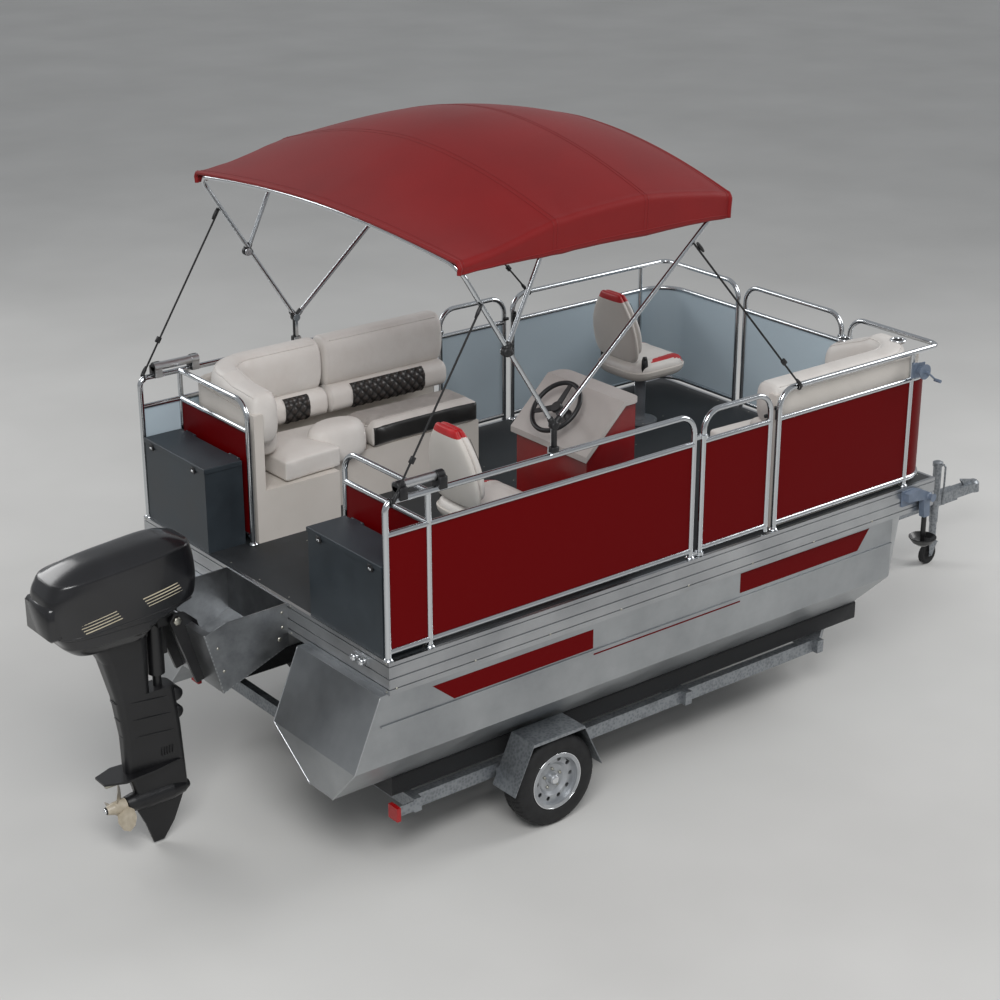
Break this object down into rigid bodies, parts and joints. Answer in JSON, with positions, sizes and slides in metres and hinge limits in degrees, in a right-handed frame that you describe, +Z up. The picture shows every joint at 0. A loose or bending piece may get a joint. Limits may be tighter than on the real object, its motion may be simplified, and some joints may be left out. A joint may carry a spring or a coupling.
{
  "type": "pontoon boat on trailer",
  "caption": "Compact pontoon boat with fenced deck, sun canopy, lounges, helm and outboard motor, standing on its road trailer",
  "frame": {"origin": "on the ground midway between the trailer's wheels", "axes": "+X towards the bow and the trailer's coupler, +Y to port, +Z up"},
  "size_m": [7.331, 2.554, 3.6848],
  "materials": {
    "hull_aluminium": "brushed marine sheet",
    "edge_extrusion": "satin anodised extrusion",
    "pod_aluminium": "mill-finish plate",
    "deck": "ribbed charcoal decking",
    "rail_tube": "polished tube",
    "panel_red": "dark red gloss paint outside",
    "locker": "fine-textured moulding",
    "upholstery": "off-white marine vinyl",
    "seat_shell": "moulded off-white",
    "console_paint": "dark red gloss paint",
    "console_mould": "moulded warm grey",
    "pedestal": "satin cast",
    "black_plastic": "moulded black",
    "canopy_fabric": "woven acrylic",
    "strap": "woven webbing",
    "davit_paint": "grey powder coat",
    "anchor_vinyl": "dipped vinyl",
    "motor_black": "satin black",
    "cowl": "black moulded cowl",
    "propeller": "silver-beige paint",
    "galvanised": "hot-dip galvanised",
    "bunk_carpet": "bunk carpet",
    "lamp": "red lens",
    "tyre": "road tread",
    "rim": "silver paint"
  },
  "bodies": {
    "boat_and_trailer": {"pontoon_port": "hull_aluminium", "pontoon_starboard": "hull_aluminium", "deck_board": "deck", "deck_frame": "edge_extrusion", "motor_pod": "pod_aluminium", "fence_frame_port": "rail_tube", "fence_frame_starboard": "rail_tube", "fence_panels_port": "panel_red", "fence_panels_starboard": "panel_red", "locker_bodies": "locker", "lounge_aft_shell": "seat_shell", "lounge_aft_seats": "upholstery", "lounge_aft_backs": "upholstery", "lounge_bow_shell": "seat_shell", "lounge_bow_seats": "upholstery", "lounge_bow_backs": "upholstery", "chair_stems": "pedestal", "console_body": "console_paint", "console_top": "console_mould", "steering_column": "black_plastic", "canopy_cloth": "canopy_fabric", "canopy_hoops": "rail_tube", "canopy_straps": "strap", "canopy_rests": "rail_tube", "anchor_davit": "davit_paint", "anchor": "anchor_vinyl", "motor_bracket": "motor_black", "trailer_frame": "galvanised", "trailer_bunks": "bunk_carpet", "trailer_axle": "galvanised", "trailer_fenders": "galvanised", "trailer_lamps": "lamp", "trailer_coupler": "galvanised", "trailer_winch_stand": "galvanised", "jack_tube": "galvanised"},
    "wheel_left_body": {"tyre_left": "tyre", "rim_left": "rim"},
    "wheel_right_body": {"tyre_right": "tyre", "rim_right": "rim"},
    "motor_tilting": {"motor_swivel": "motor_black"},
    "motor_steered": {"motor_cowl": "cowl", "motor_leg": "motor_black"},
    "propeller_body": {"propeller": "propeller"},
    "steering_wheel_body": {"steering_wheel": "black_plastic"},
    "gate_port_body": {"gate_port_frame": "rail_tube", "gate_port_panel": "panel_red"},
    "gate_starboard_body": {"gate_starboard_frame": "rail_tube", "gate_starboard_panel": "panel_red"},
    "gate_bow_body": {"gate_bow_frame": "rail_tube", "gate_bow_panel": "panel_red"},
    "locker_port_lid_body": {"locker_port_lid": "locker"},
    "locker_starboard_lid_body": {"locker_starboard_lid": "locker"},
    "chair_helm_turning": {"chair_helm_seat": "upholstery"},
    "chair_helm_folding": {"chair_helm_back": "upholstery"},
    "chair_bow_turning": {"chair_bow_seat": "upholstery"},
    "chair_bow_folding": {"chair_bow_back": "upholstery"},
    "jack_sliding": {"jack_leg": "galvanised"},
    "jack_castor": {"jack_fork": "galvanised"},
    "jack_wheel_body": {"jack_wheel": "black_plastic"}
  },
  "joints": [
    {"name": "wheel_left", "type": "hinge", "parent": "boat_and_trailer", "child": "wheel_left_body", "pos_m": [0, 1.117, 0.27], "axis": [0, 1, 0], "continuous": true},
    {"name": "wheel_right", "type": "hinge", "parent": "boat_and_trailer", "child": "wheel_right_body", "pos_m": [0, -1.117, 0.27], "axis": [0, 1, 0], "continuous": true},
    {"name": "motor_tilt", "type": "hinge", "parent": "boat_and_trailer", "child": "motor_tilting", "pos_m": [-1.68, 0, 1.33], "axis": [0, 1, 0], "range_deg": [0, 65]},
    {"name": "motor_steer", "type": "hinge", "parent": "motor_tilting", "child": "motor_steered", "pos_m": [-1.755, 0, 1], "axis": [0, 0, 1], "range_deg": [-30, 30]},
    {"name": "propeller_spin", "type": "hinge", "parent": "motor_steered", "child": "propeller_body", "pos_m": [-2.025, 0, 0.3], "axis": [1, 0, 0], "continuous": true},
    {"name": "steering_wheel_turn", "type": "hinge", "parent": "boat_and_trailer", "child": "steering_wheel_body", "pos_m": [0.43838, -0.705, 2.14771], "axis": [-0.6925, 0, 0.7214], "range_deg": [-540, 540]},
    {"name": "gate_port", "type": "hinge", "parent": "boat_and_trailer", "child": "gate_port_body", "pos_m": [1.01, 1.19, 1.5], "axis": [0, 0, -1], "range_deg": [0, 90]},
    {"name": "gate_starboard", "type": "hinge", "parent": "boat_and_trailer", "child": "gate_starboard_body", "pos_m": [1.01, -1.19, 1.5], "axis": [0, 0, 1], "range_deg": [0, 90]},
    {"name": "gate_bow", "type": "hinge", "parent": "boat_and_trailer", "child": "gate_bow_body", "pos_m": [2.92, -0.42, 1.5], "axis": [0, 0, 1], "range_deg": [0, 90]},
    {"name": "locker_port_lid", "type": "hinge", "parent": "boat_and_trailer", "child": "locker_port_lid_body", "pos_m": [-0.863, 0.835, 1.833], "axis": [0, 1, 0], "range_deg": [0, 80]},
    {"name": "locker_starboard_lid", "type": "hinge", "parent": "boat_and_trailer", "child": "locker_starboard_lid_body", "pos_m": [-0.863, -0.835, 1.833], "axis": [0, 1, 0], "range_deg": [0, 80]},
    {"name": "chair_helm_swivel", "type": "hinge", "parent": "boat_and_trailer", "child": "chair_helm_turning", "pos_m": [-0.06, -0.66, 1.6], "axis": [0, 0, 1], "range_deg": [-90, 90]},
    {"name": "chair_helm_fold", "type": "hinge", "parent": "chair_helm_turning", "child": "chair_helm_folding", "pos_m": [-0.206, -0.66, 1.835], "axis": [0, 1, 0], "range_deg": [0, 85]},
    {"name": "chair_bow_swivel", "type": "hinge", "parent": "boat_and_trailer", "child": "chair_bow_turning", "pos_m": [2.23, 0.66, 1.6], "axis": [0, 0, 1], "continuous": true},
    {"name": "chair_bow_fold", "type": "hinge", "parent": "chair_bow_turning", "child": "chair_bow_folding", "pos_m": [2.084, 0.66, 1.835], "axis": [0, 1, 0], "range_deg": [0, 85]},
    {"name": "jack_slide", "type": "slide", "parent": "boat_and_trailer", "child": "jack_sliding", "axis": [0, 0, 1], "range_m": [0, 0.14]},
    {"name": "jack_castor_swivel", "type": "hinge", "parent": "jack_sliding", "child": "jack_castor", "pos_m": [4.38, -0.08, 0.163], "axis": [0, 0, 1], "continuous": true},
    {"name": "jack_wheel_spin", "type": "hinge", "parent": "jack_castor", "child": "jack_wheel_body", "pos_m": [4.34, -0.08, 0.075], "axis": [0, 1, 0], "continuous": true}
  ],
  "couplings": [
    {"joint": "steering_wheel_turn", "follows": "motor_steer", "ratio": 18}
  ]
}
